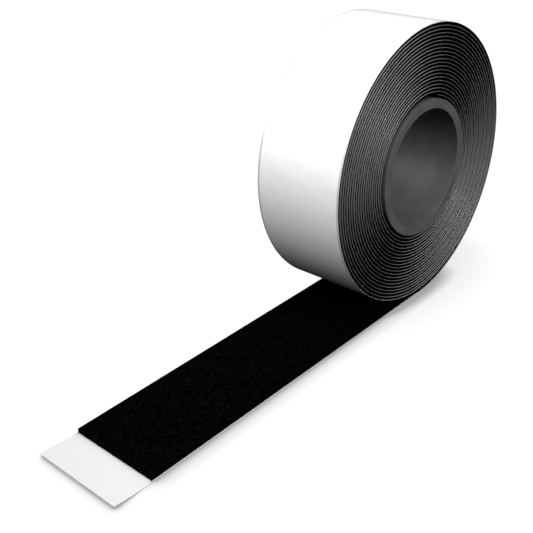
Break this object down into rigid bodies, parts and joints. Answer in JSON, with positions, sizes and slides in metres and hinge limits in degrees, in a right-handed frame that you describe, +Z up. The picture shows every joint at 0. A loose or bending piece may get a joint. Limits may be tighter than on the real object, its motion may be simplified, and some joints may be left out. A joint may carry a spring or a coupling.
{
  "type": "grip tape roll",
  "caption": "Roll of black foam grip tape on a white release liner, wound on a short tube core, with its free end laid out flat.",
  "frame": {"origin": "on the core's axis, half way along it", "axes": "+Y along the core's axis, +Z up, the free end of the tape runs along the floor towards -X"},
  "size_m": [0.1774, 0.0314, 0.0903],
  "materials": {
    "core": "matte moulded tube, dark grey",
    "foam": "matte black closed-cell foam with a fine grain",
    "liner": "smooth white coated release paper"
  },
  "bodies": {
    "roll": {"core": "core", "foam_winding": "foam", "liner_winding": "liner", "foam_lead_out": "foam", "liner_lead_out": "liner"},
    "tail_1": {"foam_tail_1": "foam", "liner_tail_1": "liner"},
    "tail_2": {"foam_tail_2": "foam", "liner_tail_2": "liner"},
    "tail_3": {"foam_tail_3": "foam", "liner_tail_3": "liner"},
    "tail_4": {"foam_tail_4": "foam", "liner_tail_4": "liner"},
    "tail_5": {"foam_tail_5": "foam", "liner_tail_5": "liner"},
    "tail_6": {"foam_tail_6": "foam", "liner_tail_6": "liner"},
    "tab": {"liner_tab": "liner"}
  },
  "joints": [
    {"name": "tail_curl", "type": "hinge", "parent": "roll", "child": "tail_1", "pos_m": [-0.01, 0, -0.0439], "axis": [0, 1, 0], "range_deg": [0, 21]},
    {"name": "tail_curl_2", "type": "hinge", "parent": "tail_1", "child": "tail_2", "pos_m": [-0.03, 0, -0.0439], "axis": [0, 1, 0], "range_deg": [0, 21]},
    {"name": "tail_curl_3", "type": "hinge", "parent": "tail_2", "child": "tail_3", "pos_m": [-0.05, 0, -0.0439], "axis": [0, 1, 0], "range_deg": [0, 21]},
    {"name": "tail_curl_4", "type": "hinge", "parent": "tail_3", "child": "tail_4", "pos_m": [-0.07, 0, -0.0439], "axis": [0, 1, 0], "range_deg": [0, 21]},
    {"name": "tail_curl_5", "type": "hinge", "parent": "tail_4", "child": "tail_5", "pos_m": [-0.09, 0, -0.0439], "axis": [0, 1, 0], "range_deg": [0, 21]},
    {"name": "tail_curl_6", "type": "hinge", "parent": "tail_5", "child": "tail_6", "pos_m": [-0.11, 0, -0.0439], "axis": [0, 1, 0], "range_deg": [0, 21]},
    {"name": "tab_peel", "type": "hinge", "parent": "tail_6", "child": "tab", "pos_m": [-0.12, 0, -0.0453], "axis": [0, 1, 0], "range_deg": [0, 85]}
  ],
  "couplings": [
    {"joint": "tail_curl_2", "follows": "tail_curl", "ratio": 1},
    {"joint": "tail_curl_3", "follows": "tail_curl", "ratio": 1},
    {"joint": "tail_curl_4", "follows": "tail_curl", "ratio": 1},
    {"joint": "tail_curl_5", "follows": "tail_curl", "ratio": 1},
    {"joint": "tail_curl_6", "follows": "tail_curl", "ratio": 1}
  ]
}
